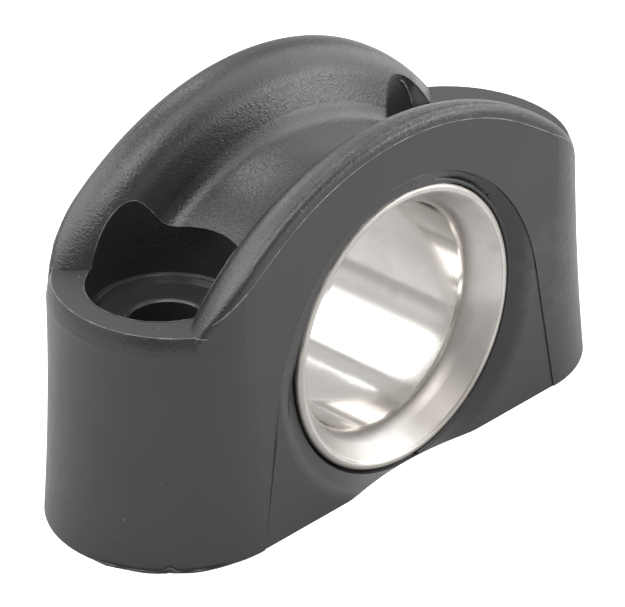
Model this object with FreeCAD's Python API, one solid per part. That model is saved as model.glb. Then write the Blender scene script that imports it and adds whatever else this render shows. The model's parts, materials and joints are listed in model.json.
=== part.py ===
import FreeCAD, Part
import os
from math import atan, atan2, cos, hypot, pi, radians, sin, sqrt, tan

# Rope fairlead eye for a deck: a moulded body with two screw pockets and a stainless liner in its eye.
# Frame: base on Z = 0, X along the two screw holes, Y along the eye's axis, Z up, millimetres.
# Body and liner are the same on both sides of X = 0 and of Y = 0.

# Liner: a thin tube flared at both ends
BORE_R = 8.0
LINER_WALL = 0.75
LIP_REACH = 2.0            # lip's outer radius beyond the bore
FLARE_ANGLE = radians(37.0)
FLARE_BEND_R = 2.2         # bend between bore and flare, on the rope's side

# Body: outer shape
BASE_HALF_Y = 8.55
FACE_DRAFT = 0.024         # how much both faces lean in for each millimetre of height
TOP_END_X = 7.05           # end boss beyond the screw axis, from the ledge upwards
BASE_END_X = 8.4           # the same at the base, where the boss flares out
LEDGE_RISE = 2.7           # ledge above the floor of the screw pocket
CROWN_R = 2.2              # the ledge's edge is part of an arc that touches the wall below it
CROWN_DROP = 1.2           # height of that arc
CROWN_STEP = 0.02          # the arc starts this little inside the wall
EDGE_R = 0.6               # rounding of the flanges' outer edges

# Body: arched flanges and the saddle between them, turned about an axis along Y
ARCH_Z = 2.5
SADDLE_WALL = 1.25         # least wall between the saddle and the liner's seat
SADDLE_FLOOR_R = 14.0
SADDLE_CORNER_R = 1.6
FLANGE_HEIGHT = 4.8        # crest above the saddle's lowest line
FLANGE_NOSE_R = 2.9
FLANGE_WALL_ANGLE = radians(69.0)
CREST_LAND = 0.1           # flat left on the crest beside its outer rounding
FOOT_DEPTH = 3.5           # how far the flanges reach into the bosses below the ledges

# Body: seat of the liner and the recesses round it in both faces
LINER_FIT = 0.05           # gap between the liner and its seat
LIP_SINK = 0.62            # lip's front plane behind the body's face at the base
LIP_CLEAR = 0.25           # straight mouth round the lip
LIP_ABOVE_BASE = 0.27
BELL_WIDTH = 2.0           # bell round the mouth, out to where it touches the apron
BELL_SLOPE = 0.45
BELL_EDGE_R = 2.0          # soft bend between the bell and the apron
BELL_LIFT = 0.012          # the bend stands this little above the apron, so that they cross cleanly
APRON_DEPTH = 0.08
APRON_TOP_LAND = 0.63      # from the mouth to the apron's top edge
APRON_SIDE_LAND = 2.33     # from the mouth to the apron's sides, where its top arc begins
APRON_BASE_X = 14.05
APRON_DROP = 2.9           # middle of the apron's top arc below the eye's centre

# Body: screw pockets for no. 10 pan heads, 9.5 across
SCREW_FROM_BORE = 6.0      # screw axis outside the bore
HOLE_R = 2.5
HOLE_CHAMFER = 0.15
POCKET_R = 5.1
POCKET_FLOOR_RISE = 3.55   # pocket's floor above the eye's centre
POCKET_STEP = 0.4          # width of the sloped step round the floor
POCKET_STEP_RISE = 0.6

# Worked out from the values above
LIP_R = BORE_R + LIP_REACH
LIP_Y = BASE_HALF_Y - LIP_SINK
MOUTH_R = LIP_R + LIP_CLEAR
EYE_Z = LIP_R + LIP_ABOVE_BASE
SEAT_OFFSET = LINER_WALL + LINER_FIT
SADDLE_R = EYE_Z + BORE_R + SEAT_OFFSET + SADDLE_WALL - ARCH_Z
ARCH_R = SADDLE_R + FLANGE_HEIGHT
HOLE_X = BORE_R + SCREW_FROM_BORE
POCKET_FLOOR_Z = EYE_Z + POCKET_FLOOR_RISE
LEDGE_Z = POCKET_FLOOR_Z + LEDGE_RISE
CROWN_Z = LEDGE_Z - CROWN_DROP
TOP_Z = ARCH_Z + ARCH_R
OUT_Y = BASE_HALF_Y + 1.0  # cutting tools reach this far
OUT_X = HOLE_X + BASE_END_X + 1.0
OUT_Z = TOP_Z + 1.0

V = FreeCAD.Vector


def line(a, b):
    return Part.LineSegment(a, b).toShape()


def arc(a, middle, b):
    return Part.Arc(a, middle, b).toShape()


def half_y(z):
    """Half thickness of the body at a height."""
    return BASE_HALF_Y - FACE_DRAFT * z


def end_x(z):
    """How far an end boss stands beyond the screw axis: it flares out towards the base."""
    flare = max(0.0, 1.0 - z / LEDGE_Z)
    return TOP_END_X + (BASE_END_X - TOP_END_X) * flare * flare


def end_curve(x, z, side, inset):
    """Half ellipse round one end boss, from one face to the other."""
    a, b = side * (end_x(z) - inset), half_y(z) - inset
    if b > abs(a):
        ellipse = Part.Ellipse(V(x, side * b, z), V(x - a, 0, z), V(x, 0, z))
        return Part.ArcOfEllipse(ellipse, -pi, 0).toShape()
    ellipse = Part.Ellipse(V(x + a, 0, z), V(x, side * b, z), V(x, 0, z))
    return Part.ArcOfEllipse(ellipse, -pi / 2, pi / 2).toShape()


def outline(z, inset=0.0):
    """Plan of the body at a height: two straight faces and two half ellipses."""
    b = half_y(z) - inset
    right, left = end_curve(HOLE_X, z, 1, inset), end_curve(-HOLE_X, z, -1, inset)
    front = line(V(-HOLE_X, -b, z), V(HOLE_X, -b, z))
    back = line(V(HOLE_X, b, z), V(-HOLE_X, b, z))
    return Part.Wire([front, right, back, left])


def outer_block():
    """The body's faces and ends, without its arched top: a loft through plans at several heights."""
    flared = [LEDGE_Z * k / 4 for k in range(5)]
    straight = [(LEDGE_Z + OUT_Z) / 2, OUT_Z]
    return Part.makeLoft([outline(z) for z in flared + straight], True, False)


def shifted(point, distance, direction):
    return (point[0] + distance * direction[0], point[1] + distance * direction[1])


def arc_middle(centre, radius, a, b):
    """Middle of the short arc from a to b."""
    angle = atan2((a[1] + b[1]) / 2 - centre[1], (a[0] + b[0]) / 2 - centre[0])
    return shifted(centre, radius, (cos(angle), sin(angle)))


def saddle_section():
    """Half section of the saddle as (y, radius): crest, nose, wall's two ends, corner, floor."""
    to_groove = (-sin(FLANGE_WALL_ANGLE), cos(FLANGE_WALL_ANGLE))
    down_wall = (-cos(FLANGE_WALL_ANGLE), -sin(FLANGE_WALL_ANGLE))
    crest = (half_y(TOP_Z) - EDGE_R - CREST_LAND, ARCH_R)
    nose = (crest[0], ARCH_R - FLANGE_NOSE_R)
    wall_top = shifted(nose, FLANGE_NOSE_R, to_groove)
    # The corner arc touches the wall and, from inside, the floor arc: its centre moves down along the
    # wall until it is `reach` away from the floor arc's centre.
    floor = (0.0, SADDLE_R + SADDLE_FLOOR_R)
    reach = SADDLE_FLOOR_R - SADDLE_CORNER_R
    start = shifted(wall_top, SADDLE_CORNER_R, to_groove)
    dy, dr = start[0] - floor[0], start[1] - floor[1]
    along = dy * down_wall[0] + dr * down_wall[1]
    drop = sqrt(along * along - dy * dy - dr * dr + reach * reach) - along
    corner = shifted(start, drop, down_wall)
    wall_foot = shifted(wall_top, drop, down_wall)
    outwards = ((corner[0] - floor[0]) / reach, (corner[1] - floor[1]) / reach)
    floor_end = shifted(floor, SADDLE_FLOOR_R, outwards)
    nose_middle = arc_middle(nose, FLANGE_NOSE_R, crest, wall_top)
    corner_middle = arc_middle(corner, SADDLE_CORNER_R, wall_foot, floor_end)
    return crest, nose_middle, wall_top, wall_foot, corner_middle, floor_end


def arched_envelope():
    """Everything under the flanges' crests and the saddle, down to the flanges' feet in the bosses."""
    section = saddle_section()
    sides = []
    for side in (1, -1):
        points = [V(0, side * y, ARCH_Z + r) for y, r in section]
        crest, nose_middle, wall_top, wall_foot, corner_middle, floor_end = points
        outer_top = V(0, side * OUT_Y, ARCH_Z + ARCH_R)
        outer_foot = V(0, side * OUT_Y, ARCH_Z)
        edges = [arc(floor_end, corner_middle, wall_foot), line(wall_foot, wall_top),
                 arc(wall_top, nose_middle, crest), line(crest, outer_top), line(outer_top, outer_foot)]
        sides.append((floor_end, edges, outer_foot))
    (floor_a, edges_a, foot_a), (floor_b, edges_b, foot_b) = sides
    floor = arc(floor_b, V(0, 0, ARCH_Z + SADDLE_R), floor_a)
    wire = Part.Wire([floor] + edges_a + [line(foot_a, foot_b)] + edges_b[::-1])
    turned = Part.Face(wire).revolve(V(0, 0, ARCH_Z), V(0, 1, 0), 360)
    return turned.common(slab(LEDGE_Z - FOOT_DEPTH, OUT_Z))


def slab(z_low, z_high):
    """Everything between two heights."""
    return Part.makeBox(2 * OUT_X, 2 * OUT_Y, z_high - z_low, V(-OUT_X, -OUT_Y, z_low))


def is_outer_edge(edge):
    """True for the outer edge of a flange's crest, but not for the seam across it."""
    p = edge.valueAt((edge.FirstParameter + edge.LastParameter) / 2)
    along = abs(edge.valueAt(edge.FirstParameter).x - edge.valueAt(edge.LastParameter).x) > 0.01
    on_crest = abs(hypot(p.x, p.z - ARCH_Z) - ARCH_R) < 0.01
    at_face = abs(p.y) > half_y(TOP_Z) - EDGE_R - CREST_LAND + 0.01
    return on_crest and along and (at_face or abs(p.x) > HOLE_X)


def flanged_arch(block):
    """The arch with its two flanges, down to the foot of the crowns."""
    raw = block.common(arched_envelope()).Solids[0]
    rounded = raw.makeFillet(EDGE_R, [edge for edge in raw.Edges if is_outer_edge(edge)])
    return rounded.common(slab(CROWN_Z, OUT_Z)).Solids[0]


def crown():
    """The bosses' tops: their wall leans in along an arc and meets the ledges at an angle."""
    plans = []
    for k in range(4):
        rise = CROWN_DROP * k / 3
        inset = CROWN_STEP + CROWN_R - sqrt(CROWN_R * CROWN_R - rise * rise)
        plans.append(outline(CROWN_Z + rise, inset))
    return Part.makeLoft(plans, True, False)


def rounded_shell():
    block = outer_block()
    bosses = block.common(slab(0, CROWN_Z)).Solids[0]
    return bosses.fuse([crown(), flanged_arch(block)]).removeSplitter().Solids[0]


def turned_about_z(points, x):
    """Solid turned about the vertical line through x, from (radius, z) corners."""
    corners = [V(x + r, 0, z) for r, z in points]
    face = Part.Face(Part.makePolygon(corners + [corners[0]]))
    return face.revolve(V(x, 0, 0), V(0, 0, 1), 360)


def screw_pocket(x):
    """Pocket for the pan head with a sloped step round its floor, and the screw's hole below it."""
    floor_r, wide_r = POCKET_R - POCKET_STEP, HOLE_R + HOLE_CHAMFER
    pocket = [(0, OUT_Z), (POCKET_R, OUT_Z), (POCKET_R, POCKET_FLOOR_Z + POCKET_STEP_RISE),
              (floor_r, POCKET_FLOOR_Z)]
    hole = [(wide_r, POCKET_FLOOR_Z), (HOLE_R, POCKET_FLOOR_Z - HOLE_CHAMFER), (HOLE_R, HOLE_CHAMFER),
            (wide_r, 0), (wide_r, -1), (0, -1)]
    return turned_about_z(pocket + hole, x)


def skin(offset):
    """One skin of the flared tube for Y > 0, at an offset outwards from the rope's side.

    Gives the bend's start, middle and end and the flare's outer end, as (y, radius).
    """
    half = LINER_WALL / 2
    rim_y, rim_r = LIP_Y - half, LIP_R - half
    inner_y, inner_r = rim_y + half * sin(FLARE_ANGLE), rim_r - half * cos(FLARE_ANGLE)
    corner_y = inner_y - (inner_r - BORE_R) / tan(FLARE_ANGLE)
    centre = (corner_y - FLARE_BEND_R * tan(FLARE_ANGLE / 2), BORE_R + FLARE_BEND_R)
    turn = [shifted(centre, FLARE_BEND_R - offset, (sin(a), -cos(a))) for a in (0, FLARE_ANGLE / 2, FLARE_ANGLE)]
    tip = shifted((rim_y, rim_r), offset - half, (-sin(FLARE_ANGLE), cos(FLARE_ANGLE)))
    return turn + [tip]


def at_eye(y, r):
    return V(0, y, EYE_Z + r)


def turned_about_eye(edges):
    return Part.Face(Part.Wire(edges)).revolve(V(0, 0, EYE_Z), V(0, 1, 0), 360)


def seat():
    """Cutting tool for the liner's seat: bore, flared seats and the straight mouths round the lips."""
    start, middle, end, tip = skin(SEAT_OFFSET)
    mouth = (tip[0] + (MOUTH_R - tip[1]) / tan(FLARE_ANGLE), MOUTH_R)
    edges = [line(at_eye(-start[0], start[1]), at_eye(*start)), arc(at_eye(*start), at_eye(*middle), at_eye(*end)),
             line(at_eye(*end), at_eye(*mouth)), line(at_eye(*mouth), at_eye(OUT_Y, MOUTH_R)),
             line(at_eye(OUT_Y, MOUTH_R), at_eye(OUT_Y, 0)), line(at_eye(OUT_Y, 0), at_eye(-OUT_Y, 0)),
             line(at_eye(-OUT_Y, 0), at_eye(-OUT_Y, MOUTH_R)), line(at_eye(-OUT_Y, MOUTH_R), at_eye(-mouth[0], MOUTH_R)),
             line(at_eye(-mouth[0], MOUTH_R), at_eye(-end[0], end[1])),
             arc(at_eye(-end[0], end[1]), at_eye(-middle[0], middle[1]), at_eye(-start[0], start[1]))]
    return turned_about_eye(edges)


def bell(side):
    """Cutting tool for the bell, turned about the eye's line square to the leaning apron."""
    outer_r = MOUTH_R + BELL_WIDTH
    turn = atan(BELL_SLOPE)
    bend_r, bend_rise = BELL_EDGE_R * sin(turn), BELL_EDGE_R * (1 - cos(turn))
    inner_r = MOUTH_R / 2
    inner_rise = BELL_LIFT - bend_rise - (outer_r - bend_r - inner_r) * BELL_SLOPE
    half = (outer_r - BELL_EDGE_R * sin(turn / 2), BELL_LIFT - BELL_EDGE_R * (1 - cos(turn / 2)))
    face_y = half_y(EYE_Z) - APRON_DEPTH
    square = V(0, side, FACE_DRAFT).normalize()
    upwards = V(0, -side * FACE_DRAFT, 1).normalize()

    def at(r, rise):
        return V(0, side * face_y, EYE_Z) + upwards * r + square * rise

    edges = [line(at(0, inner_rise), at(inner_r, inner_rise)),
             line(at(inner_r, inner_rise), at(outer_r - bend_r, BELL_LIFT - bend_rise)),
             arc(at(outer_r - bend_r, BELL_LIFT - bend_rise), at(*half), at(outer_r, BELL_LIFT)),
             line(at(outer_r, BELL_LIFT), at(outer_r, 1)), line(at(outer_r, 1), at(0, 1)),
             line(at(0, 1), at(0, inner_rise))]
    return Part.Face(Part.Wire(edges)).revolve(V(0, side * face_y, EYE_Z), square, 360)


def apron(side, base_y):
    """Prism of the apron's outline, outwards from the leaning plane that meets the base at base_y.

    The outline is half an ellipse over two straight sides that touch it and splay out to the base.
    """
    def on_plane(x, z):
        return V(x, side * (base_y - FACE_DRAFT * z), z)

    half_x = MOUTH_R + APRON_SIDE_LAND
    middle_z = EYE_Z - APRON_DROP
    rise = EYE_Z + MOUTH_R + APRON_TOP_LAND - middle_z
    # A side touches the ellipse at the angle where the ellipse's tangent passes through the base corner.
    across, down = APRON_BASE_X / half_x, -middle_z / rise
    touch = atan2(down, across) + atan2(sqrt(across * across + down * down - 1), 1)
    touch_x, touch_z = half_x * cos(touch), middle_z + rise * sin(touch)
    foot_x = APRON_BASE_X + (APRON_BASE_X - touch_x) / touch_z
    top = arc_of_ellipse(on_plane, half_x, rise, middle_z, touch)
    foot = [on_plane(-foot_x, -1), on_plane(foot_x, -1)]
    sides = [line(foot[1], on_plane(touch_x, touch_z)), line(on_plane(-touch_x, touch_z), foot[0])]
    wire = Part.Wire([sides[0], top, sides[1], line(foot[0], foot[1])])
    return Part.Face(wire).extrude(V(0, side * (OUT_Y - base_y + FACE_DRAFT * OUT_Z), 0))


def arc_of_ellipse(on_plane, half_x, rise, middle_z, touch):
    """Top arc of the apron, from its touching angle on one side to that on the other."""
    centre = on_plane(0, middle_z)
    along_x, along_z = on_plane(half_x, middle_z), on_plane(0, middle_z + rise)
    if half_x > rise:
        ellipse = Part.Ellipse(along_x, along_z, centre)
        return Part.ArcOfEllipse(ellipse, touch, pi - touch).toShape()
    ellipse = Part.Ellipse(along_z, along_x, centre)
    return Part.ArcOfEllipse(ellipse, touch - pi / 2, pi / 2 - touch).toShape()


def recess(side):
    """Cutting tool for one face: the apron with the bell in it."""
    return apron(side, BASE_HALF_Y - APRON_DEPTH).fuse(bell(side).common(apron(side, 0.0)))


def body():
    solid = rounded_shell()
    for side in (-1, 1):
        solid = solid.cut(recess(side))
    for x in (HOLE_X, -HOLE_X):
        solid = solid.cut(screw_pocket(x))
    return solid.cut(seat())


def liner():
    half = LINER_WALL / 2
    rim = (LIP_Y - half, LIP_R - half)
    edges = []
    for side in (1, -1):
        inner = [at_eye(side * y, r) for y, r in skin(0.0)]
        outer = [at_eye(side * y, r) for y, r in skin(LINER_WALL)]
        y, r = shifted(rim, half, (cos(FLARE_ANGLE), sin(FLARE_ANGLE)))
        edges += [arc(inner[0], inner[1], inner[2]), line(inner[2], inner[3]),
                  arc(inner[3], at_eye(side * y, r), outer[3]), line(outer[3], outer[2]),
                  arc(outer[2], outer[1], outer[0])]
        if side == 1:
            first_inner, first_outer = inner[0], outer[0]
    edges += [line(first_inner, inner[0]), line(first_outer, outer[0])]
    return turned_about_eye(Part.__sortEdges__(edges))


def save(name, shape):
    solid = shape.Solids[0]
    print(name, len(shape.Solids), "solid, valid:", solid.isValid(), "volume", round(solid.Volume, 1))
    solid.exportStep("parts/" + name + ".step")


os.makedirs("parts", exist_ok=True)
save("body", body())
save("liner", liner())
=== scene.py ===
import json
import math
import random

import bpy
from mathutils import Matrix, Vector
from mathutils.bvhtree import BVHTree


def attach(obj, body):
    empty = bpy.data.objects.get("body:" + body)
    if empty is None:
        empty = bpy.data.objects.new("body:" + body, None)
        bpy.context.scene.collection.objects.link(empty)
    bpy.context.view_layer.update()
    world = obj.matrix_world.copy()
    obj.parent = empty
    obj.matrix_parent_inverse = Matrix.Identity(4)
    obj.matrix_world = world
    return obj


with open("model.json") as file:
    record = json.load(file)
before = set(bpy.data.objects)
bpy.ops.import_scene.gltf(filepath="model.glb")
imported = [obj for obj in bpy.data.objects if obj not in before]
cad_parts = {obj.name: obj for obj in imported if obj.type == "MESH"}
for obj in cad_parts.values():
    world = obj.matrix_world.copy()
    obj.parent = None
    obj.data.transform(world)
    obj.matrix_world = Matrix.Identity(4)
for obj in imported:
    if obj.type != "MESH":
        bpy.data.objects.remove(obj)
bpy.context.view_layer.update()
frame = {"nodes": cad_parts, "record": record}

# Rope fairlead eye: finish of the moulded nylon body and of its stainless liner.
# Metres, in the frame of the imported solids: X along the screws, Y along the eye's axis, Z up.
# A side is -1 for the front and 1 for the rear, an end is -1 for the left and 1 for the right.

MM = 0.001
mounts = {mount["name"]: mount for mount in frame["record"]["mounts"]}

# Places on the body that the record's mounts give
EYE_Z = mounts["rope_eye"]["pos_m"][2]
BORE_HALF = mounts["rope_eye"]["dims"]["length_mm"] * MM / 2
SCREW_X = mounts["screw_holes"]["dims"]["spacing_x_mm"] * MM / 2
HOLE_R = mounts["screw_holes"]["dims"]["hole_r_mm"] * MM

# Places that the record doesn't hold, as in the part's source
ARCH_Z = 2.5 * MM
LEDGE_Z = 16.52 * MM
CROWN_Z = 15.32 * MM
POCKET_R = 5.1 * MM
POCKET_FLOOR_Z = 13.82 * MM
POCKET_STEP = 0.4 * MM
POCKET_STEP_RISE = 0.6 * MM
HOLE_CHAMFER = 0.15 * MM
HALF_Y = 8.55 * MM
FACE_DRAFT = 0.024
BASE_END_X = 8.4 * MM

# Fine raised line that the mould's joint leaves on a face, just under the crest's rounding, pale with a
# painted highlight
PARTING_R = 21.7 * MM
PARTING_SPREAD = 0.8 * MM
PARTING_BEND_X = 11.5 * MM
PARTING_END_X = 16.9 * MM
PARTING_BEAD_R = 0.036 * MM

# Painted highlights on a screw pocket's edges; the ledge's edge is searched for between two distances from
# the hole
RIM_BEAD_R = 0.045 * MM
RIM_INSET = 0.02 * MM
STEP_BEAD_R = 0.04 * MM
LEDGE_BEAD_R = 0.026 * MM
LEDGE_SPREAD = 66
LEDGE_NEAR_R, LEDGE_FAR_R = POCKET_R + 0.3 * MM, 9.5 * MM
LEDGE_HALVINGS = 22
LEDGE_TOLERANCE = 0.02 * MM
LEDGE_SINK = 0.01 * MM

# Gap round the liner: a painted reflection of the dark body on the lip's outer side, and the seat's filling,
# with their angles in degrees
LIP_SIDE_R, LIP_SIDE_Y, LIP_BEAD_R = 10.02 * MM, 7.8 * MM, 0.17 * MM
LIP_SIDE_FROM, LIP_SIDE_TO = 80, 178
SEAT_LINE_R, SEAT_LINE_Y, SEAT_BEAD_R = 10.19 * MM, 7.72 * MM, 0.16 * MM
SEAT_LINE_FROM, SEAT_LINE_TO = -84, 80

# Swell of the moulding beside the lip: its angles, and its inner edge as angle and radius in millimetres
COLLAR_FROM, COLLAR_FULL_FROM = math.radians(38), math.radians(90)
COLLAR_FULL_TO, COLLAR_TO = math.radians(198), math.radians(236)
COLLAR_EDGE = [(56, 10.05), (70, 9.9), (80, 9.88), (92, 10.03), (115, 10.18), (158, 10.22),
               (167, 10.45), (178, 10.84), (192, 11.2), (215, 11.3), (236, 11.3)]

# How far out it goes: in small steps back to where the bell is deep enough, and not below the foot
COLLAR_OUTER_MAX, COLLAR_OUTER_MIN = 12.9 * MM, 10.4 * MM
COLLAR_OUTER_STEP = 0.02 * MM
COLLAR_DEPTH = 0.09 * MM
COLLAR_LAP = 0.03 * MM
COLLAR_FOOT_GAP = 0.3 * MM
COLLAR_LEAST_FALL = 0.1

# Its section: spans of the skin, the mouth as distance back and down in millimetres, and the hidden root
COLLAR_SPANS = 8
COLLAR_BEVEL = 0.12 * MM
COLLAR_CREST_Y, COLLAR_LIP_Y = 7.99 * MM, 7.985 * MM
COLLAR_BACK_Y, COLLAR_ROOT_Y = 7.5 * MM, 7.2 * MM
COLLAR_SKIN_R, COLLAR_SEAT_R = 10.27 * MM, 10.2 * MM
COLLAR_SINK, COLLAR_START_SINK = 0.02, 0.07
COLLAR_MOUTH = ((0.06, 0.0), (0.01, 0.05), (0.0, 0.14), (0.02, 0.5))

# Painted highlight along the swell's inner edge, with its angles in degrees
COLLAR_LINE_R = 0.045 * MM
COLLAR_LINE_Y = 7.975 * MM
COLLAR_LINE_BACK = 0.04 * MM
COLLAR_LINE_FROM, COLLAR_LINE_TO = 150, 216

# Painted shadow line along the apron's edge, which bows inwards above its widest place
APRON_FOOT_X, APRON_SIDE_X, APRON_SIDE_Z = 14.05 * MM, 12.58 * MM, 7.37 * MM
APRON_TOP_Z = 11.0 * MM
APRON_BOW, APRON_BOW_POWER = 0.65 * MM, 1.5
APRON_SINK = 0.01 * MM
APRON_BEAD_R = 0.035 * MM

# Skin over the seam of a boss's crown: its spread in degrees, and heights about the seam with lifts off
# the surface in millimetres
CROWN_SPREAD = 86
CROWN_EASE_STEPS = 10
CROWN_END_SINK = 0.012
CROWN_LEVELS = ((0.42, -0.01), (0.2, 0.004), (0.05, 0.016), (-0.05, 0.012), (-0.2, 0.004),
                (-0.42, -0.01), (0.0, -0.3))

# Torn flash at the foot of the left end, and the two fine lines above it: a tan line and, over it, a painted
# shadow line
FLASH_FROM, FLASH_TO = math.radians(-172), math.radians(-108)
FLASH_TEAR = math.radians(-136)
FLASH_TEAR_WIDTH = math.radians(1.2)
FLASH_TEAR_DEPTH = 0.8
FLASH_FADE = 0.12
FLASH_REACH = 0.16 * MM
FLASH_HEIGHT = 0.12 * MM
FLASH_ROOT = 0.1 * MM
FOOT_LINE_Z, FOOT_SHADOW_Z = 0.1 * MM, 0.19 * MM
FOOT_BEAD_R = 0.036 * MM
FOOT_LIFT = 0.02 * MM
FOOT_NICK_WIDTH = math.radians(2.2)
FOOT_NICK_RISE = 0.3 * MM

# Camera, solved from the photograph
CAMERA_AZIMUTH = math.radians(-45.205)
CAMERA_ELEVATION = math.radians(29.5504)
CAMERA_ROLL = math.radians(-1.1175)
CAMERA_DISTANCE = 270.743 * MM
CAMERA_RIGHT = -0.6396 * MM
CAMERA_UP = 7.9177 * MM
CAMERA_LENS = 230.17
SENSOR_WIDTH = 36.0
CLIP_START, CLIP_END = 0.01, 10.0


def toward(azimuth, elevation):
    """Unit vector from the object towards a direction in radians: azimuth 0 is the front."""
    return Vector((math.sin(azimuth) * math.cos(elevation), -math.cos(azimuth) * math.cos(elevation),
                   math.sin(elevation)))


def add_camera():
    back = toward(CAMERA_AZIMUTH, CAMERA_ELEVATION)
    level = Vector((math.cos(CAMERA_AZIMUTH), math.sin(CAMERA_AZIMUTH), 0.0))
    upright = back.cross(level)
    right = level * math.cos(CAMERA_ROLL) + upright * math.sin(CAMERA_ROLL)
    up = upright * math.cos(CAMERA_ROLL) - level * math.sin(CAMERA_ROLL)
    data = bpy.data.cameras.new("camera")
    data.lens = CAMERA_LENS
    data.sensor_width = SENSOR_WIDTH
    data.clip_start = CLIP_START
    data.clip_end = CLIP_END
    camera = bpy.data.objects.new("camera", data)
    place = back * CAMERA_DISTANCE + right * CAMERA_RIGHT + up * CAMERA_UP
    camera.matrix_world = Matrix.Translation(place) @ Matrix((right, up, back)).transposed().to_4x4()
    bpy.context.scene.collection.objects.link(camera)
    bpy.context.scene.camera = camera


class Nodes:
    """Adds nodes to a tree and links them, so that a material reads as a list of steps."""

    def __init__(self, tree):
        self.tree = tree

    def add(self, kind, inputs=None, **settings):
        node = self.tree.nodes.new(kind)
        for name, value in settings.items():
            setattr(node, name, value)
        for name, value in (inputs or {}).items():
            self.set(node.inputs[name], value)
        return node

    def set(self, socket, value):
        if isinstance(value, bpy.types.NodeSocket):
            self.tree.links.new(value, socket)
        else:
            socket.default_value = value

    def math(self, operation, *values):
        node = self.add("ShaderNodeMath", operation=operation)
        for socket, value in zip(node.inputs, values):
            self.set(socket, value)
        return node.outputs[0]

    def product(self, *values):
        result = values[0]
        for value in values[1:]:
            result = self.math("MULTIPLY", result, value)
        return result

    def total(self, *values):
        result = values[0]
        for value in values[1:]:
            result = self.math("ADD", result, value)
        return result

    def length(self, a, b):
        """Length of a vector from two components at right angles."""
        return self.math("SQRT", self.total(self.product(a, a), self.product(b, b)))

    def ramp(self, value, low, high, to_low=0.0, to_high=1.0):
        """Smooth step of a value between two limits."""
        node = self.add("ShaderNodeMapRange", {"Value": value, "From Min": low, "From Max": high,
                                               "To Min": to_low, "To Max": to_high},
                        interpolation_type="SMOOTHSTEP")
        return node.outputs["Result"]

    def mix(self, factor, a, b):
        node = self.add("ShaderNodeMix", data_type="RGBA")
        for socket, value in zip((node.inputs[0], node.inputs[6], node.inputs[7]), (factor, a, b)):
            self.set(socket, value)
        return node.outputs[2]

    def noise(self, vector, size, detail=1.0, distortion=0.0):
        """Noise whose blobs are about as big as size, in metres."""
        return self.add("ShaderNodeTexNoise", {"Vector": vector, "Scale": 1.0 / size, "Detail": detail,
                                               "Distortion": distortion}).outputs[0]

    def axes(self, vector):
        split = self.add("ShaderNodeSeparateXYZ", {"Vector": vector})
        return [split.outputs[k] for k in range(3)]


VECTOR, VALUE = "NodeSocketVector", "NodeSocketFloat"
WHITE = (1.0, 1.0, 1.0, 1.0)


def new_group(name, inputs, outputs):
    """Empty shader node group with the given sockets: the group, its builder, its input and output nodes."""
    group = bpy.data.node_groups.new(name, "ShaderNodeTree")
    for socket, kind, default in inputs:
        made = group.interface.new_socket(name=socket, in_out="INPUT", socket_type=kind)
        if default is not None:
            made.default_value = default
    for socket, kind in outputs:
        group.interface.new_socket(name=socket, in_out="OUTPUT", socket_type=kind)
    nodes = Nodes(group)
    return group, nodes, nodes.add("NodeGroupInput"), nodes.add("NodeGroupOutput")


def place_group(nodes, group, inputs):
    node = nodes.add("ShaderNodeGroup", node_tree=group)
    for name, value in inputs.items():
        nodes.set(node.inputs[name], value)
    return node


def make_grain_group():
    """Height of a leathery or rubbed surface: wrinkled grains over a finer noise."""
    group, nodes, given, out = new_group(
        "fine_grain",
        [("Position", VECTOR, None), ("Grain Size", VALUE, 0.2 * MM), ("Fineness", VALUE, 0.35)],
        [("Height", VALUE)])
    position, share = given.outputs["Position"], given.outputs["Fineness"]
    scale = nodes.math("DIVIDE", 1.0, given.outputs["Grain Size"])
    coarse = nodes.add("ShaderNodeTexNoise", {"Vector": position, "Scale": scale, "Detail": 1.0,
                                              "Roughness": 0.5, "Distortion": 0.9})
    finer = nodes.math("MULTIPLY", scale, 2.3)
    fine = nodes.add("ShaderNodeTexNoise", {"Vector": position, "Scale": finer, "Detail": 1.0})
    rest = nodes.math("SUBTRACT", 1.0, share)
    height = nodes.total(nodes.product(coarse.outputs[0], rest), nodes.product(fine.outputs[0], share))
    nodes.set(out.inputs["Height"], height)
    return group


def make_speck_group():
    """Mask of sparse small round specks."""
    group, nodes, given, out = new_group(
        "specks",
        [("Position", VECTOR, None), ("Spacing", VALUE, 3.0 * MM), ("Speck Size", VALUE, 0.06)],
        [("Mask", VALUE)])
    scale = nodes.math("DIVIDE", 1.0, given.outputs["Spacing"])
    cells = nodes.add("ShaderNodeTexVoronoi", {"Vector": given.outputs["Position"], "Scale": scale})
    near = nodes.math("LESS_THAN", cells.outputs["Distance"], given.outputs["Speck Size"])
    nodes.set(out.inputs["Mask"], near)
    return group


def make_patch_group():
    """Mask of a soft round patch about a point."""
    group, nodes, given, out = new_group(
        "soft_patch",
        [("Position", VECTOR, None), ("Centre", VECTOR, None), ("Radius", VALUE, 5.0 * MM)],
        [("Mask", VALUE)])
    away = nodes.add("ShaderNodeVectorMath", operation="DISTANCE")
    nodes.set(away.inputs[0], given.outputs["Position"])
    nodes.set(away.inputs[1], given.outputs["Centre"])
    share = nodes.math("DIVIDE", away.outputs["Value"], given.outputs["Radius"])
    nodes.set(out.inputs["Mask"], nodes.ramp(share, 1.0, 0.35))
    return group


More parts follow.
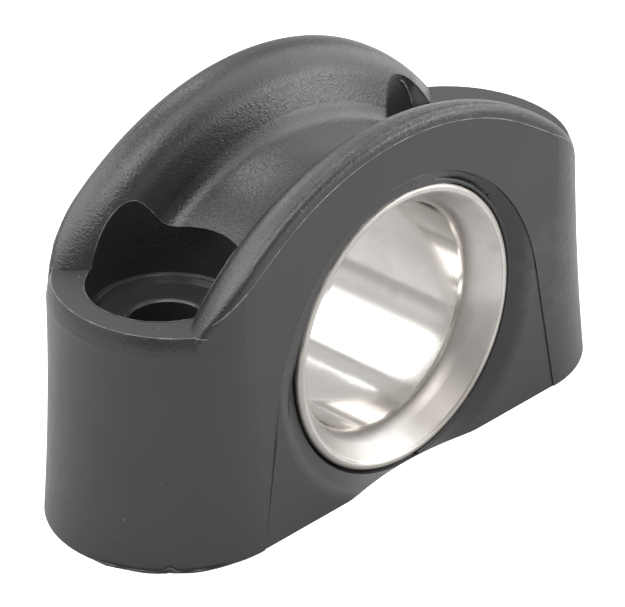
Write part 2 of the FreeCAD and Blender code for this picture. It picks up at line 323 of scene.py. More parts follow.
def make_top_zone_group():
    """Masks of the body's textured zone inside the parting line, of the band under the ledges and of the
    bell and gap round the liner; the band and the bell carry painted shade."""
    group, nodes, given, out = new_group("top_zone", [("Position", VECTOR, None)],
                                         [("Texture", VALUE), ("Band Shade", VALUE), ("Bell Shade", VALUE)])
    x, y, z = nodes.axes(given.outputs["Position"])
    face = nodes.math("SUBTRACT", HALF_Y, nodes.product(z, FACE_DRAFT))
    inside = nodes.math("SUBTRACT", face, nodes.math("ABSOLUTE", y))
    radius = nodes.length(x, nodes.math("SUBTRACT", z, ARCH_Z))
    past_line = nodes.ramp(radius, PARTING_R - 0.02 * MM, PARTING_R + 0.05 * MM)
    off_face = nodes.math("MAXIMUM", nodes.ramp(inside, 0.004 * MM, 0.05 * MM), past_line)
    above = nodes.ramp(z, CROWN_Z - 0.5 * MM, CROWN_Z + 0.5 * MM)
    level = nodes.math("COMPARE", z, LEDGE_Z, 0.04 * MM)
    plain = nodes.math("SUBTRACT", 1.0, nodes.product(level, 0.7))
    nodes.set(out.inputs["Texture"], nodes.product(off_face, above, plain))
    # Band under the ledges, for painted shade
    at_end = nodes.ramp(nodes.math("ABSOLUTE", x), SCREW_X + 1.5 * MM, SCREW_X + 3.5 * MM)
    rise_in = nodes.ramp(z, CROWN_Z - 0.6 * MM, CROWN_Z - 0.05 * MM)
    fall_out = nodes.ramp(z, LEDGE_Z - 0.2 * MM, CROWN_Z + 0.3 * MM)
    nodes.set(out.inputs["Band Shade"], nodes.product(rise_in, fall_out, at_end))
    # Bell and gap round the liner, for painted shade
    lift = nodes.math("SUBTRACT", z, EYE_Z)
    round_eye = nodes.length(x, lift)
    bell = nodes.product(nodes.ramp(inside, 0.06 * MM, 0.4 * MM),
                         nodes.ramp(round_eye, 12.6 * MM, 11.6 * MM),
                         nodes.ramp(x, 2.0 * MM, 7.0 * MM))
    gap = nodes.product(nodes.ramp(inside, 0.2 * MM, 0.34 * MM),
                        nodes.ramp(round_eye, 11.3 * MM, 11.05 * MM),
                        nodes.product(nodes.ramp(x, 0.0, -4.0 * MM), nodes.ramp(lift, 4.0 * MM, 1.0 * MM)))
    nodes.set(out.inputs["Bell Shade"], nodes.math("MAXIMUM", bell, gap))
    return group


GRAIN = make_grain_group()
SPECKS = make_speck_group()
PATCH = make_patch_group()
TOP_ZONE = make_top_zone_group()

NYLON_COLOUR = (0.0235, 0.0238, 0.0252, 1.0)
NYLON_PALE = (0.039, 0.04, 0.0425, 1.0)
# Pale nylon for the flow marks, and for painted highlights on the saddle and along edges
NYLON_FLOW_MARK_AND_HIGHLIGHT = (0.11, 0.112, 0.116, 1.0)
# Painted highlight colour of the fine lines
NYLON_LINE_HIGHLIGHT = (0.3, 0.3, 0.305, 1.0)
# Pale specks and crest wear, and painted light on the right pocket's wall
NYLON_SPECK_AND_WALL_LIGHT = (0.22, 0.22, 0.22, 1.0)
NYLON_SHADE = (0.008, 0.008, 0.0085, 1.0)
NYLON_BAND_SHADE = (0.02, 0.02, 0.021, 1.0)
NYLON_TAN, NYLON_PALE_TAN = (0.07, 0.055, 0.045, 1.0), (0.34, 0.30, 0.26, 1.0)
NYLON_SMOOTH_ROUGHNESS = 0.34
NYLON_TEXTURED_ROUGHNESS = 0.29
NYLON_IOR = 1.6
NYLON_BUMP = 0.045 * MM
LINE_BUMP = 0.01 * MM
STEEL_COLOUR = (0.655, 0.635, 0.61, 1.0)
STEEL_FLARE = (0.72, 0.70, 0.675, 1.0)
STEEL_SHADE = (0.585, 0.56, 0.53, 1.0)
# Darker steel: the turned line and the flare's duller patch, and a painted reflection on the brim
STEEL_DARK_TONE = (0.30, 0.265, 0.23, 1.0)
# Painted reflection of the dark body on the lip's outer side
STEEL_LIP_REFLECTION, STEEL_LIP_REFLECTION_PALE = (0.12, 0.11, 0.1, 1.0), (0.24, 0.225, 0.205, 1.0)
STEEL_BORE_ROUGHNESS = 0.12
STEEL_FLARE_ROUGHNESS = 0.43
STEEL_BUMP = 0.01 * MM
FLARE_BLEND = 0.8 * MM

# Marks seen on this one: a rubbed stretch of the front crest and flow marks on the front's right end
RUBBED_CENTRE, RUBBED_RADIUS = Vector((2.5, -8.1, 24.6)) * MM, 6.5 * MM
FLOW_CENTRE, FLOW_RADIUS = Vector((14.5, -8.3, 9.2)) * MM, 6.0 * MM
FLOW_ANGLE = math.radians(24)
FLOW_SIZE = 0.34 * MM
FLOW_STRETCH = 4.0

# Saddle: a painted highlight paler on its middle, and painted shade darker in the hollow beside the left
# pocket
SADDLE_HIGHLIGHT_CENTRE, SADDLE_HIGHLIGHT_RADIUS = Vector((4.0, 2.2, 20.0)) * MM, 6.5 * MM
HOLLOW_SHADE_CENTRE, HOLLOW_SHADE_RADIUS = Vector((-7.6, 2.2, 18.6)) * MM, 3.4 * MM

# Painted light on the rear wall of the right pocket: a pale patch and a pale highlight line, the line's
# points in millimetres
LIT_WALL_CENTRE, LIT_WALL_RADIUS = Vector((15.5, 4.9, 17.5)) * MM, 1.5 * MM
WALL_LINE = [(13.35, 5.05, 19.1), (13.65, 5.08, 18.8), (13.9, 5.1, 18.4), (14.1, 5.1, 18.0),
             (14.27, 5.1, 17.6), (14.4, 5.09, 17.2), (14.45, 5.08, 16.8)]
WALL_BEAD_R = 0.07 * MM

# Duller stretch of the flare, low on its right
FLARE_DULL_CENTRE, FLARE_DULL_RADIUS = Vector((4.8, -7.2, 2.6)) * MM, 5.0 * MM

# Fine turned line near the lip's edge, and beyond it the brim, darkened with a painted reflection of the
# dark body
LIP_LINE_R = 9.42 * MM
LIP_LINE_HALF = 0.035 * MM
BRIM_FROM_R, BRIM_FULL_R = LIP_LINE_R + 0.1 * MM, LIP_LINE_R + 0.3 * MM


def new_material(name):
    material = bpy.data.materials.new(name)
    material.use_nodes = True
    material.node_tree.nodes.clear()
    nodes = Nodes(material.node_tree)
    shader = nodes.add("ShaderNodeBsdfPrincipled")
    output = nodes.add("ShaderNodeOutputMaterial")
    nodes.set(output.inputs["Surface"], shader.outputs[0])
    position = nodes.add("ShaderNodeTexCoord").outputs["Object"]
    return material, nodes, shader, position


def add_bump(nodes, shader, height, distance, strength=1.0):
    bump = nodes.add("ShaderNodeBump", {"Height": height, "Strength": strength, "Distance": distance})
    nodes.set(shader.inputs["Normal"], bump.outputs[0])


def make_nylon():
    """Dark grey glass-filled nylon: satin on the faces and ends, leathery spark-eroded texture on top."""
    material, nodes, shader, position = new_material("moulded_nylon_finish")

    def patch(centre, radius):
        return place_group(nodes, PATCH, {"Position": position, "Centre": centre,
                                          "Radius": radius}).outputs["Mask"]

    def grained(size, fineness):
        return place_group(nodes, GRAIN, {"Position": position, "Grain Size": size,
                                          "Fineness": fineness}).outputs["Height"]

    zones = place_group(nodes, TOP_ZONE, {"Position": position})
    texture = zones.outputs["Texture"]
    cloud = nodes.ramp(nodes.noise(position, 6.0 * MM, 3.0), 0.3, 0.7)
    fleck = nodes.ramp(nodes.noise(position, 0.14 * MM, 1.0), 0.3, 0.75)
    rub = nodes.ramp(nodes.noise(position, 0.2 * MM, 1.0, 0.5), 0.55, 0.68)
    flow = nodes.noise(position, 1.1 * MM, 2.0)
    speck = place_group(nodes, SPECKS, {"Position": position, "Spacing": 2.6 * MM,
                                        "Speck Size": 0.028}).outputs["Mask"]
    rubbed = patch(RUBBED_CENTRE, RUBBED_RADIUS)
    marked = patch(FLOW_CENTRE, FLOW_RADIUS)
    wall = patch(LIT_WALL_CENTRE, LIT_WALL_RADIUS)
    saddle_highlight = patch(SADDLE_HIGHLIGHT_CENTRE, SADDLE_HIGHLIGHT_RADIUS)
    hollow = patch(HOLLOW_SHADE_CENTRE, HOLLOW_SHADE_RADIUS)

    shade = nodes.total(nodes.product(cloud, 0.22), nodes.product(fleck, 0.18))
    tone = nodes.mix(shade, NYLON_COLOUR, NYLON_PALE)
    # Painted shade on the band under the ledges
    tone = nodes.mix(nodes.product(zones.outputs["Band Shade"], 0.35), tone, NYLON_BAND_SHADE)
    tone = nodes.mix(nodes.product(rubbed, texture, rub, 0.35), tone, NYLON_SPECK_AND_WALL_LIGHT)
    # Painted shade on the bell and in the gap round the liner
    tone = nodes.mix(nodes.product(zones.outputs["Bell Shade"], 0.8), tone, NYLON_SHADE)
    # Painted light on the rear wall of the right pocket
    tone = nodes.mix(nodes.product(wall, 0.6), tone, NYLON_SPECK_AND_WALL_LIGHT)
    # Painted highlight on the middle of the saddle
    tone = nodes.mix(nodes.product(saddle_highlight, 0.45), tone, NYLON_FLOW_MARK_AND_HIGHLIGHT)
    # Painted shade in the hollow beside the left pocket
    tone = nodes.mix(nodes.product(hollow, 0.9), tone, NYLON_SHADE)
    tone = nodes.mix(nodes.product(marked, nodes.ramp(flow, 0.35, 0.7), 0.22), tone, NYLON_FLOW_MARK_AND_HIGHLIGHT)
    tone = nodes.mix(nodes.product(speck, 0.5), tone, NYLON_SPECK_AND_WALL_LIGHT)
    nodes.set(shader.inputs["Base Color"], tone)

    rough = nodes.ramp(texture, 0.0, 1.0, NYLON_SMOOTH_ROUGHNESS, NYLON_TEXTURED_ROUGHNESS)
    drift = nodes.ramp(flow, 0.2, 0.8, -0.03, 0.03)
    nodes.set(shader.inputs["Roughness"], nodes.total(rough, drift))
    turned = nodes.add("ShaderNodeMapping", {"Vector": position, "Rotation": (0.0, FLOW_ANGLE, 0.0),
                                             "Scale": (1.0 / FLOW_STRETCH, 1.0, 1.0)}).outputs[0]
    wrinkle = nodes.noise(turned, FLOW_SIZE, 2.0, 0.4)
    height = nodes.total(nodes.product(grained(0.24 * MM, 0.4), texture),
                         nodes.product(grained(0.3 * MM, 0.5), 0.10),
                         nodes.product(wrinkle, marked, 1.5))
    add_bump(nodes, shader, height, NYLON_BUMP)
    shader.inputs["IOR"].default_value = NYLON_IOR
    return material


def make_line_finish(name, dull, pale):
    """Finish of a fine line or edge that is patchy between two colours."""
    material, nodes, shader, position = new_material(name)
    patchy = nodes.ramp(nodes.noise(position, 1.4 * MM, 3.0), 0.35, 0.7)
    nodes.set(shader.inputs["Base Color"], nodes.mix(patchy, dull, pale))
    fine = place_group(nodes, GRAIN, {"Position": position, "Grain Size": 0.15 * MM,
                                      "Fineness": 0.3}).outputs["Height"]
    nodes.set(shader.inputs["Roughness"], nodes.ramp(fine, 0.3, 0.7, 0.28, 0.4))
    add_bump(nodes, shader, fine, LINE_BUMP)
    return material


def make_steel():
    """Stainless liner: bright turned bore, satin flare with smudges and a duller patch, a fine turned line,
    and a painted reflection of the dark body on the brim.
    """
    material, nodes, shader, position = new_material("stainless_finish")
    x, y, z = nodes.axes(position)
    along = nodes.math("ABSOLUTE", y)
    radius = nodes.length(x, nodes.math("SUBTRACT", z, EYE_Z))
    flare = nodes.ramp(along, BORE_HALF, BORE_HALF + FLARE_BLEND)
    turned = nodes.add("ShaderNodeCombineXYZ", {"X": along, "Y": radius}).outputs[0]
    lines = nodes.noise(turned, 0.11 * MM, 2.0)
    stretched = nodes.add("ShaderNodeMapping", {"Vector": position, "Scale": (1.0, 0.12, 1.0)}).outputs[0]
    drawn = nodes.noise(stretched, 0.35 * MM, 2.0)
    rub = place_group(nodes, GRAIN, {"Position": position, "Grain Size": 0.6 * MM,
                                     "Fineness": 0.5}).outputs["Height"]
    smudge = nodes.noise(position, 2.6 * MM, 4.0, 0.6)
    dull_patch = place_group(nodes, PATCH, {"Position": position, "Centre": FLARE_DULL_CENTRE,
                                       "Radius": FLARE_DULL_RADIUS}).outputs["Mask"]
    off_line = nodes.math("ABSOLUTE", nodes.math("SUBTRACT", radius, LIP_LINE_R))
    on_line = nodes.math("LESS_THAN", off_line, LIP_LINE_HALF)
    brim = nodes.ramp(radius, BRIM_FROM_R, BRIM_FULL_R)

    clean = nodes.mix(flare, STEEL_COLOUR, STEEL_FLARE)
    tone = nodes.mix(nodes.product(nodes.ramp(smudge, 0.35, 0.75), 0.8), clean, STEEL_SHADE)
    tone = nodes.mix(nodes.product(dull_patch, flare, 0.6), tone, STEEL_DARK_TONE)
    # Painted reflection of the dark body on the brim
    tone = nodes.mix(nodes.product(brim, 0.45), tone, STEEL_DARK_TONE)
    tone = nodes.mix(nodes.product(on_line, 0.45), tone, STEEL_DARK_TONE)
    nodes.set(shader.inputs["Base Color"], tone)

    rough = nodes.ramp(flare, 0.0, 1.0, STEEL_BORE_ROUGHNESS, STEEL_FLARE_ROUGHNESS)
    drift = nodes.ramp(smudge, 0.3, 0.7, -0.02, 0.04)
    nodes.set(shader.inputs["Roughness"], nodes.total(rough, drift))
    marks = nodes.total(nodes.product(lines, 0.35), nodes.product(rub, 0.4), nodes.product(drawn, 0.25))
    add_bump(nodes, shader, marks, STEEL_BUMP, 0.5)
    shader.inputs["Metallic"].default_value = 1.0
    return material


def dress(node, material):
    """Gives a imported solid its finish, in place of the plain one."""
    piece = frame["nodes"][node]
    piece.data.materials.clear()
    piece.data.materials.append(material)


def surface_of(node):
    mesh = frame["nodes"][node].data
    mesh.calc_loop_triangles()
    return BVHTree.FromPolygons([v.co for v in mesh.vertices], [t.vertices for t in mesh.loop_triangles])


BODY = surface_of("body")
FAR = 0.1
UP = Vector((0.0, 0.0, 1.0))
SIDE_NAMES = {-1: "front", 1: "rear"}
END_NAMES = {-1: "left", 1: "right"}
BEAD_SIDES = 8


def on_top(x, y):
    """Point of the body's skin straight below a place."""
    place, *_ = BODY.ray_cast(Vector((x, y, FAR)), -UP)
    return place


def on_face(x, z, side):
    """Point and normal of the body's skin at a place on the front or rear face."""
    place, normal, *_ = BODY.ray_cast(Vector((x, side * FAR, z)), Vector((0.0, -side, 0.0)))
    return place, normal


def add_piece(name, verts, faces, material, smooth=True):
    """New mesh that rides on the part."""
    mesh = bpy.data.meshes.new(name)
    mesh.from_pydata(verts, [], faces)
    if smooth:
        mesh.shade_smooth()
    mesh.materials.append(material)
    piece = bpy.data.objects.new(name, mesh)
    bpy.context.scene.collection.objects.link(piece)
    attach(piece, "root")


def tube_faces(count, sides, closed=False, flipped=False):
    """Faces of a tube through rings of vertices, capped at both ends unless it closes on itself."""
    rings = count // sides
    faces = []
    for i in range(rings if closed else rings - 1):
        a, b = sides * i, sides * ((i + 1) % rings)
        for k in range(sides):
            n = (k + 1) % sides
            faces.append((a + k, a + n, b + n, b + k) if flipped else (a + k, b + k, b + n, a + n))
    if not closed:
        caps = [tuple(range(sides)), tuple(range(count - 1, count - sides - 1, -1))]
        faces += [cap[::-1] if flipped else cap for cap in caps]
    return faces


def bead(name, points, radius, material, closed=False, unevenness=0.0, seed=1, taper=0.0):
    """Thin round line along points on a surface, given with their normals."""
    chance = random.Random(seed)
    count = len(points)
    verts = []
    for i, (place, normal) in enumerate(points):
        before = points[(i - 1) % count][0] if closed or i else place
        after = points[(i + 1) % count][0] if closed or i < count - 1 else place
        across = (after - before).normalized().cross(normal).normalized()
        up = across.cross(after - before).normalized()
        r = radius * (1.0 + unevenness * chance.uniform(-1.0, 1.0))
        if taper:
            r *= max(0.05, min(1.0, i / (taper * count), (count - 1 - i) / (taper * count)))
        for k in range(BEAD_SIDES):
            turn = 2.0 * math.pi * k / BEAD_SIDES
            verts.append(place + across * (r * math.cos(turn)) + up * (r * math.sin(turn)))
    add_piece(name, verts, tube_faces(len(verts), BEAD_SIDES, closed=closed), material)


def add_parting_line(side, material):
    """Fine line that the mould's joint leaves on a face, pale with a painted highlight."""
    points = []
    steps = 260
    for i in range(steps + 1):
        x = PARTING_END_X * (2.0 * i / steps - 1.0)
        out = max(0.0, abs(x) - PARTING_BEND_X) / (PARTING_END_X - PARTING_BEND_X)
        radius = PARTING_R + PARTING_SPREAD * out ** 2
        place, normal = on_face(x, ARCH_Z + math.sqrt(radius ** 2 - x ** 2), side)
        if place is not None:
            points.append((place, normal))
    bead("parting_line_" + SIDE_NAMES[side], points, PARTING_BEAD_R, material, unevenness=0.25)


def ledge_radius(centre, x, y):
    """Distance from a screw's axis to the ledge's edge in a direction, found by halving."""
    low, high = LEDGE_NEAR_R, LEDGE_FAR_R
    for _ in range(LEDGE_HALVINGS):
        middle = (low + high) / 2
        place = on_top(centre + x * middle, y * middle)
        if place is not None and place.z > LEDGE_Z - LEDGE_TOLERANCE:
            low = middle
        else:
            high = middle
    return low


def add_pocket_lines(end, material, pale):
    """Painted highlights on a screw pocket's edges: its wavy rim, its ledge, its floor's step and the hole.
    """
    name = END_NAMES[end]
    centre = end * SCREW_X
    rim, ledge = [], []
    steps = 240
    for i in range(steps):
        turn = 2.0 * math.pi * i / steps
        x, y = math.cos(turn), math.sin(turn)
        place = on_top(centre + x * (POCKET_R + RIM_INSET), y * (POCKET_R + RIM_INSET))
        rim.append((place, UP))
    bead("pocket_rim_" + name, rim, RIM_BEAD_R, material, closed=True, unevenness=0.3, seed=3)
    for i in range(steps + 1):
        turn = math.radians(-LEDGE_SPREAD + 2 * LEDGE_SPREAD * i / steps)
        x, y = end * math.cos(turn), math.sin(turn)
        reach = ledge_radius(centre, x, y)
        ledge.append((Vector((centre + x * reach, y * reach, LEDGE_Z - LEDGE_SINK)), UP))
    bead("ledge_edge_" + name, ledge, LEDGE_BEAD_R, pale, unevenness=0.45, seed=5)
    for ring, radius, height in (("step", POCKET_R - POCKET_STEP, POCKET_FLOOR_Z + POCKET_STEP_RISE),
                                 ("hole", HOLE_R + HOLE_CHAMFER, POCKET_FLOOR_Z)):
        points = []
        steps = 120
        for i in range(steps):
            turn = 2.0 * math.pi * i / steps
            points.append((Vector((centre + radius * math.cos(turn), radius * math.sin(turn), height)), UP))
        bead("pocket_" + ring + "_" + name, points, STEP_BEAD_R, material, closed=True,
             unevenness=0.2, seed=7)


def add_seat_line(side, name, first, last, ring, material, taper=0.0):
    """Round line in the gap round the liner, between two angles in degrees."""
    ring_r, ring_y, radius = ring
    points = []
    steps = 200
    for i in range(steps + 1):
        turn = math.radians(first + (last - first) * i / steps)
        place = Vector((ring_r * math.cos(turn), side * ring_y, EYE_Z + ring_r * math.sin(turn)))
        points.append((place, Vector((0.0, side, 0.0))))
    bead(name + "_" + SIDE_NAMES[side], points, radius, material, unevenness=0.1, seed=9, taper=taper)


def collar_edge(turn):
    """Radius of the collar's inner edge at an angle, in metres."""
    degrees = math.degrees(turn)
    for (first, low), (last, high) in zip(COLLAR_EDGE, COLLAR_EDGE[1:]):
        if degrees <= last:
            return (low + (high - low) * (degrees - first) / (last - first)) * MM
    return COLLAR_EDGE[-1][1] * MM


def add_collar_line(side, material):
    """Fine line of painted highlight along the collar's inner edge, where the gap round the liner opens."""
    points = []
    steps = 120
    for i in range(steps + 1):
        turn = math.radians(COLLAR_LINE_FROM + (COLLAR_LINE_TO - COLLAR_LINE_FROM) * i / steps)
        radius = collar_edge(turn) + COLLAR_LINE_BACK
        place = Vector((radius * math.cos(turn), side * COLLAR_LINE_Y, EYE_Z + radius * math.sin(turn)))
        points.append((place, Vector((0.0, side, 0.0))))
    bead("collar_line_" + SIDE_NAMES[side], points, COLLAR_LINE_R, material, taper=0.3)


def bell_depth(radius, across, up, side):
    """Depth of the body's skin under the flat face, at a distance from the eye's axis in a direction."""
    z = EYE_Z + radius * up
    place, _normal = on_face(radius * across, z, side)
    return HALF_Y - FACE_DRAFT * z - abs(place.y) if place is not None else 0.0


def smooth(share):
    return share * share * (3.0 - 2.0 * share)


def add_seat_collar(side, material):
    """Swell of the moulding that fills the bell beside the lip, from the top round to the left."""
    verts = []
    steps = 180
    for i in range(steps + 1):
        turn = COLLAR_FROM + (COLLAR_TO - COLLAR_FROM) * i / steps
        rise = min(1.0, (turn - COLLAR_FROM) / (COLLAR_FULL_FROM - COLLAR_FROM))
        fall = min(1.0, (COLLAR_TO - turn) / (COLLAR_TO - COLLAR_FULL_TO))
        full = smooth(rise) * smooth(fall)
        across, up = math.cos(turn), math.sin(turn)
        outer = min(COLLAR_OUTER_MAX, (EYE_Z - COLLAR_FOOT_GAP) / max(COLLAR_LEAST_FALL, -up))
        while outer > COLLAR_OUTER_MIN and bell_depth(outer, across, up, side) < COLLAR_DEPTH:
            outer -= COLLAR_OUTER_STEP
        outer += COLLAR_LAP
        inner = collar_edge(turn)
        step_down = min(bell_depth(outer, across, up, side), COLLAR_DEPTH)
        for share in range(COLLAR_SPANS + 1):
            radius = outer + (inner + COLLAR_BEVEL - outer) * share / COLLAR_SPANS
            z = EYE_Z + radius * up
            face = HALF_Y - FACE_DRAFT * z
            edge = face - step_down
            level = edge + (COLLAR_CREST_Y - edge) * share / COLLAR_SPANS
            skin = COLLAR_BACK_Y
            if radius > COLLAR_SEAT_R:
                skin = face - bell_depth(max(radius, COLLAR_SKIN_R), across, up, side)
            sunk = skin - (COLLAR_SINK + COLLAR_START_SINK * (1.0 - rise)) * MM
            verts.append(Vector((radius * across, side * (sunk + (level - sunk) * full), z)))
        for back, low in COLLAR_MOUTH:
            radius = inner + back * MM
            y = COLLAR_BACK_Y + (COLLAR_LIP_Y - low * MM - COLLAR_BACK_Y) * full
            verts.append(Vector((radius * across, side * y, EYE_Z + radius * up)))
        verts.append(Vector((outer * across, side * COLLAR_ROOT_Y, EYE_Z + outer * up)))
    faces = tube_faces(len(verts), COLLAR_SPANS + len(COLLAR_MOUTH) + 2, flipped=side > 0)
    add_piece("seat_collar_" + SIDE_NAMES[side], verts, faces, material)


def add_apron_line(side, end, material):
    """Painted shadow line along the apron's edge, from the foot up past the widest part of its arch."""
    points = []
    steps = 60
    for i in range(steps + 1):
        z = APRON_TOP_Z * i / steps
        x = APRON_FOOT_X + (APRON_SIDE_X - APRON_FOOT_X) * min(z, APRON_SIDE_Z) / APRON_SIDE_Z
        if z > APRON_SIDE_Z:
            x -= APRON_BOW * ((z - APRON_SIDE_Z) / (APRON_TOP_Z - APRON_SIDE_Z)) ** APRON_BOW_POWER
        place = Vector((end * x, side * (HALF_Y - FACE_DRAFT * z - APRON_SINK), z))
        points.append((place, Vector((0.0, side, 0.0))))
    bead("apron_edge_" + SIDE_NAMES[side] + "_" + END_NAMES[end], points, APRON_BEAD_R, material,
         unevenness=0.1, seed=13, taper=0.35)


def add_crown_blend(end, material):
    """Thin skin over the seam of a boss's crown and wall, so that one flows into the other."""
    verts = []
    steps = 160
    for i in range(steps + 1):
        turn = math.radians(-CROWN_SPREAD + 2 * CROWN_SPREAD * i / steps)
        out = Vector((end * math.cos(turn), math.sin(turn), 0.0))
        ease = min(1.0, min(i, steps - i) / CROWN_EASE_STEPS)
        for rise, lift in CROWN_LEVELS:
            start = Vector((end * SCREW_X, 0.0, CROWN_Z + rise * MM)) + out * FAR
            place, *_ = BODY.ray_cast(start, -out)
            verts.append(place + out * (lift * ease - CROWN_END_SINK * (1.0 - ease)) * MM)
    faces = tube_faces(len(verts), len(CROWN_LEVELS), flipped=end > 0)
    add_piece("crown_blend_" + END_NAMES[end], verts, faces, material)


def add_wall_line(material):
    """Painted highlight: fine upright pale line on the rear wall of the right pocket."""
    points = [(Vector(place) * MM, Vector((0.0, -1.0, 0.0))) for place in WALL_LINE]
    bead("pocket_wall_line_right", points, WALL_BEAD_R, material)


def on_foot(turn):
    """Point of the left end's foot at an angle, and the way out of it."""
    place = Vector((-SCREW_X + BASE_END_X * math.cos(turn), HALF_Y * math.sin(turn), 0.0))
    out = Vector((math.cos(turn) / BASE_END_X, math.sin(turn) / HALF_Y, 0.0)).normalized()
    return place, out


def add_base_flash(material):
    """Thin torn flash along the foot of the left end, with one tear."""
    chance = random.Random(11)
    steps = 150
    verts = []
    for i in range(steps + 1):
        share = i / steps
        turn = FLASH_FROM + (FLASH_TO - FLASH_FROM) * share
        fade = min(1.0, share / FLASH_FADE, (1.0 - share) / FLASH_FADE)
        tear = 1.0 - FLASH_TEAR_DEPTH * math.exp(-((turn - FLASH_TEAR) / FLASH_TEAR_WIDTH) ** 2)
        wave = 0.7 + 0.25 * math.sin(19.0 * share) + chance.uniform(-0.08, 0.08)
        reach = FLASH_REACH * fade * tear * wave
        top = FLASH_HEIGHT * (0.8 + 0.2 * math.sin(31.0 * share))
        foot, out = on_foot(turn)
        verts += [foot - out * FLASH_ROOT, foot + out * reach, foot + out * reach * 0.9 + UP * top,
                  foot - out * FLASH_ROOT + UP * (top * 1.2)]
    add_piece("base_flash", verts, tube_faces(len(verts), 4), material, smooth=False)


def add_foot_line(name, height, material):
    """Fine line just above the foot of the left end, with a nick where the flash is torn."""
    points = []
    steps = 160
    for i in range(steps + 1):
        turn = FLASH_FROM + (FLASH_TO - FLASH_FROM) * i / steps
        nick = math.exp(-((turn - FLASH_TEAR) / FOOT_NICK_WIDTH) ** 2)
        place, out = on_foot(turn)
        place.z = height + FOOT_NICK_RISE * nick
        points.append((place + out * (FOOT_LIFT - FACE_DRAFT * place.z), out))
    bead(name, points, FOOT_BEAD_R, material, unevenness=0.35, seed=15, taper=0.15)


FLOOR_HALF = 2.0
FLOOR_TONE = (0.52, 0.52, 0.52, 1.0)
FLOOR_SEEN, FLOOR_GLOSSY = 0.9, 0.15


def add_floor():
    """White floor: near white to the camera, and dimmer in the part's reflections."""
    mesh = bpy.data.meshes.new("floor")
    corners = [(-FLOOR_HALF, -FLOOR_HALF, 0), (FLOOR_HALF, -FLOOR_HALF, 0),
               (FLOOR_HALF, FLOOR_HALF, 0), (-FLOOR_HALF, FLOOR_HALF, 0)]
    mesh.from_pydata(corners, [], [(0, 1, 2, 3)])
    floor = bpy.data.objects.new("floor", mesh)
    bpy.context.scene.collection.objects.link(floor)
    material = bpy.data.materials.new("floor_white")
    material.use_nodes = True
    material.node_tree.nodes.clear()
    nodes = Nodes(material.node_tree)
    seen = nodes.add("ShaderNodeLightPath")
    matt = nodes.add("ShaderNodeBsdfDiffuse", {"Color": FLOOR_TONE})
    level = nodes.total(nodes.product(seen.outputs["Is Camera Ray"], FLOOR_SEEN),
                        nodes.product(seen.outputs["Is Glossy Ray"], FLOOR_GLOSSY))
    glow = nodes.add("ShaderNodeEmission", {"Color": WHITE, "Strength": level})
    both = nodes.add("ShaderNodeAddShader")
    nodes.set(both.inputs[0], matt.outputs[0])
    nodes.set(both.inputs[1], glow.outputs[0])
    output = nodes.add("ShaderNodeOutputMaterial")
    nodes.set(output.inputs["Surface"], both.outputs[0])
    mesh.materials.append(material)


# Soft boxes of the studio: centre's azimuth (0 is the front, 90 the right), half width, lowest and
# highest elevation and softness of the edges, in degrees, and brightness
SOFT_BOXES = [
    (180, 90, -8, 14, 6, 0.6),     # backdrop, low
    (180, 90, 14, 88, 8, 0.4),     # backdrop, high
    (150, 30, 8, 62, 6, 0.4),      # wall behind on the right
    (-146, 28, 27, 66, 6, 3.1),    # key, behind on the left
    (-150, 30, 10, 27, 6, 0.45),   # spill under the key
    (168, 14, 14, 32, 4, 1.6),     # strip behind
    (70, 36, -3, 66, 6, 2.1),      # bank at the right
    (45, 14, -3, 14, 5, 3.6),      # the bank's foot
    (-45, 16, -3, 50, 6, 0.45),    # beside the camera
    (-60, 46, 54, 76, 8, 4.0),     # over the camera
    (0, 34, 48, 70, 8, 0.8),       # front, overhead
    (0, 90, 68, 90, 6, 2.7),       # ceiling
    (10, 26, -3, 31, 6, 0.85),     # front, low
    (-105, 18, 32, 62, 6, 1.5),    # left, overhead
]


def make_soft_box_group():
    """Brightness of one rectangular soft light in the world, in azimuth and elevation."""
    group, nodes, given, out = new_group(
        "soft_box", [("Direction", VECTOR, None), ("Azimuth", VALUE, 0.0), ("Half Width", VALUE, 0.5),
                     ("Low", VALUE, 0.0), ("High", VALUE, 0.5), ("Softness", VALUE, 0.1),
                     ("Level", VALUE, 1.0)],
        [("Level", VALUE)])
    x, y, z = nodes.axes(given.outputs["Direction"])
    side = nodes.math("SINE", given.outputs["Azimuth"])
    front = nodes.math("COSINE", given.outputs["Azimuth"])
    ahead = nodes.math("SUBTRACT", nodes.product(x, side), nodes.product(y, front))
    across = nodes.total(nodes.product(x, front), nodes.product(y, side))
    off = nodes.math("ABSOLUTE", nodes.math("ARCTAN2", across, ahead))
    elevation = nodes.math("ARCSINE", z)
    soft = given.outputs["Softness"]

    def past(value, edge):
        return nodes.ramp(nodes.math("DIVIDE", nodes.math("SUBTRACT", value, edge), soft), -1.0, 1.0)

    inside = nodes.product(past(given.outputs["Half Width"], off), past(elevation, given.outputs["Low"]),
                           past(given.outputs["High"], elevation))
    nodes.set(out.inputs["Level"], nodes.product(inside, given.outputs["Level"]))
    return group


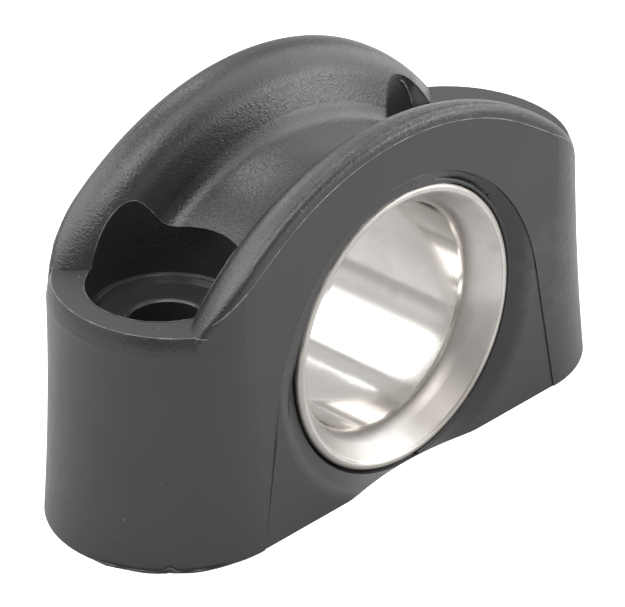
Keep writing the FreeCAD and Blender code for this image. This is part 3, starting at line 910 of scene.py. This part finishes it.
def add_world():
    """Soft studio built of soft boxes; the camera sees plain white."""
    world = bpy.data.worlds.new("studio")
    bpy.context.scene.world = world
    world.use_nodes = True
    world.node_tree.nodes.clear()
    nodes = Nodes(world.node_tree)
    direction = nodes.add("ShaderNodeTexCoord").outputs["Generated"]
    group = make_soft_box_group()
    level = 0.0
    for azimuth, half, low, high, soft, strength in SOFT_BOXES:
        box = place_group(nodes, group, {"Direction": direction, "Azimuth": math.radians(azimuth),
                                         "Half Width": math.radians(half), "Low": math.radians(low),
                                         "High": math.radians(high), "Softness": math.radians(soft),
                                         "Level": strength})
        level = nodes.total(level, box.outputs["Level"])
    light = nodes.add("ShaderNodeBackground", {"Color": WHITE, "Strength": level})
    white = nodes.add("ShaderNodeBackground", {"Color": WHITE, "Strength": 1.0})
    seen = nodes.add("ShaderNodeLightPath").outputs["Is Camera Ray"]
    mix = nodes.add("ShaderNodeMixShader")
    nodes.set(mix.inputs[0], seen)
    nodes.set(mix.inputs[1], light.outputs[0])
    nodes.set(mix.inputs[2], white.outputs[0])
    output = nodes.add("ShaderNodeOutputWorld")
    nodes.set(output.inputs["Surface"], mix.outputs[0])


def add_lamp(name, azimuth, elevation, distance, size, power):
    """Square soft lamp aimed at the eye, from a direction in degrees: azimuth 0 is the front."""
    way = toward(math.radians(azimuth), math.radians(elevation))
    data = bpy.data.lights.new(name, "AREA")
    data.shape = "SQUARE"
    data.size = size
    data.energy = power
    lamp = bpy.data.objects.new(name, data)
    lamp.location = way * distance + UP * EYE_Z
    lamp.rotation_euler = way.to_track_quat("Z", "Y").to_euler()
    bpy.context.scene.collection.objects.link(lamp)


add_camera()
bpy.context.scene.view_settings.view_transform = "Standard"
add_floor()
add_world()
add_lamp("spot_behind_right", azimuth=147.0, elevation=57.0, distance=0.8, size=0.2, power=0.7)

nylon = make_nylon()
# Painted highlight for the fine edges
edge_highlight = make_line_finish("moulded_nylon_edge_highlight", NYLON_COLOUR, NYLON_FLOW_MARK_AND_HIGHLIGHT)
# Painted shadow for the fine dark lines
shaded_line = make_line_finish("moulded_nylon_painted_shadow", NYLON_SHADE, NYLON_COLOUR)
tan_line = make_line_finish("moulded_nylon_flash", NYLON_TAN, NYLON_PALE_TAN)
# Painted reflection of the dark body on the lip's side
lip_reflection = make_line_finish("stainless_lip_reflection", STEEL_LIP_REFLECTION, STEEL_LIP_REFLECTION_PALE)
# Painted highlight for the parting, ledge and wall lines
line_highlight = make_line_finish("moulded_nylon_line_highlight", NYLON_FLOW_MARK_AND_HIGHLIGHT, NYLON_LINE_HIGHLIGHT)
dress("body", nylon)
dress("liner", make_steel())
lip_side = (LIP_SIDE_R, LIP_SIDE_Y, LIP_BEAD_R)
seat_line = (SEAT_LINE_R, SEAT_LINE_Y, SEAT_BEAD_R)
for way in (-1, 1):
    add_parting_line(way, line_highlight)
    add_seat_collar(way, nylon)
    add_seat_line(way, "lip_side", LIP_SIDE_FROM, LIP_SIDE_TO, lip_side, lip_reflection, taper=0.15)
    add_collar_line(way, edge_highlight)
    add_seat_line(way, "seat_filler", SEAT_LINE_FROM, SEAT_LINE_TO, seat_line, nylon)
    add_apron_line(way, way, shaded_line)
    add_pocket_lines(way, edge_highlight, line_highlight)
for boss_end in (-1, 1):
    add_crown_blend(boss_end, nylon)
add_wall_line(line_highlight)
# The flash's pale colour is the painted edge highlight
add_base_flash(edge_highlight)
add_foot_line("foot_line", FOOT_LINE_Z, tan_line)
# Painted shadow line above the flash
add_foot_line("foot_shadow_line", FOOT_SHADOW_Z, shaded_line)
